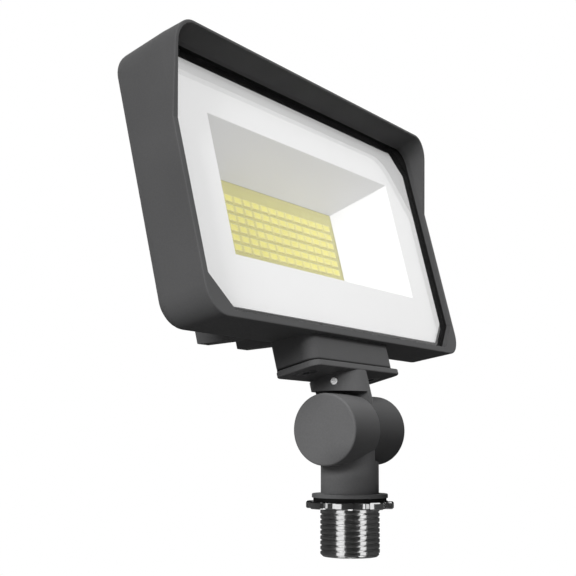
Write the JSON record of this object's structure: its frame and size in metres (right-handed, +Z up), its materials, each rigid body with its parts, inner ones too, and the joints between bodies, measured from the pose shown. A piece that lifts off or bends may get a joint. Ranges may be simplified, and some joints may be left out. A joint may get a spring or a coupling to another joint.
{
  "type": "led flood light",
  "caption": "Small rectangular LED flood light: cast housing with visor, glass lens and white reflector, on a tilting knuckle with a threaded pipe stub and locknut.",
  "frame": {"origin": "on the axis of the pipe thread, in the plane just under the locknut where a cover plate bears", "axes": "+Z up the thread's axis towards the lamp, +X along the knuckle's axis, -Y the side the lamp shines to"},
  "size_m": [0.18, 0.0699, 0.1763],
  "materials": {
    "powder_coat": "die-cast aluminium, dark grey powder coat",
    "lens": "clear tempered glass",
    "black_rubber": "matt black silicone",
    "reflector_white": "white, satin",
    "board_white": "white solder mask",
    "phosphor": "yellow phosphor",
    "thermal_grey": "grey silicone sheet",
    "board_green": "green solder mask",
    "core_dark": "dark core with tape",
    "capacitor_black": "sleeved can",
    "terminal_white": "natural nylon",
    "lead_insulation": "insulated lead",
    "steel": "zinc plated",
    "black_steel": "black oxide",
    "plated_thread": "bright zinc plate"
  },
  "bodies": {
    "mount_arm": {"lower_arm": "powder_coat", "threaded_stub": "plated_thread", "knuckle_o_ring": "black_rubber"},
    "head": {"housing": "powder_coat", "lens_glass": "lens", "lens_seal": "black_rubber", "reflector": "reflector_white", "led_board": "board_white", "led_chips": "phosphor", "led_connector": "terminal_white", "led_board_screws": "steel", "thermal_pad": "thermal_grey", "driver_board": "board_green", "driver_transformer": "core_dark", "driver_capacitors": "capacitor_black", "driver_terminals": "terminal_white", "driver_screws": "steel", "led_leads": "lead_insulation", "lead_grommet": "black_rubber", "upper_arm": "powder_coat", "arm_gasket": "black_rubber", "arm_screws": "black_steel", "set_screw": "steel", "lock_washer": "steel"},
    "clamp_bolt": {"knuckle_bolt": "black_steel"},
    "seal": {"sealing_washer": "black_rubber"},
    "nut": {"locknut": "plated_thread"}
  },
  "joints": [
    {"name": "knuckle_tilt", "type": "hinge", "parent": "mount_arm", "child": "head", "pos_m": [0, 0, 0.028], "axis": [1, 0, 0], "range_deg": [-75, 104]},
    {"name": "clamp_bolt_turn", "type": "hinge", "parent": "head", "child": "clamp_bolt", "pos_m": [0, 0, 0.028], "axis": [1, 0, 0], "range_deg": [0, 360]},
    {"name": "washer_slide", "type": "slide", "parent": "mount_arm", "child": "seal", "axis": [0, 0, -1], "range_m": [0, 0.01471]},
    {"name": "locknut_turn", "type": "hinge", "parent": "seal", "child": "nut", "pos_m": [0, 0, 0], "axis": [0, 0, -1], "range_deg": [0, 2880]}
  ],
  "couplings": [
    {"joint": "washer_slide", "follows": "locknut_turn", "m_per_rad": 0.00028871}
  ]
}
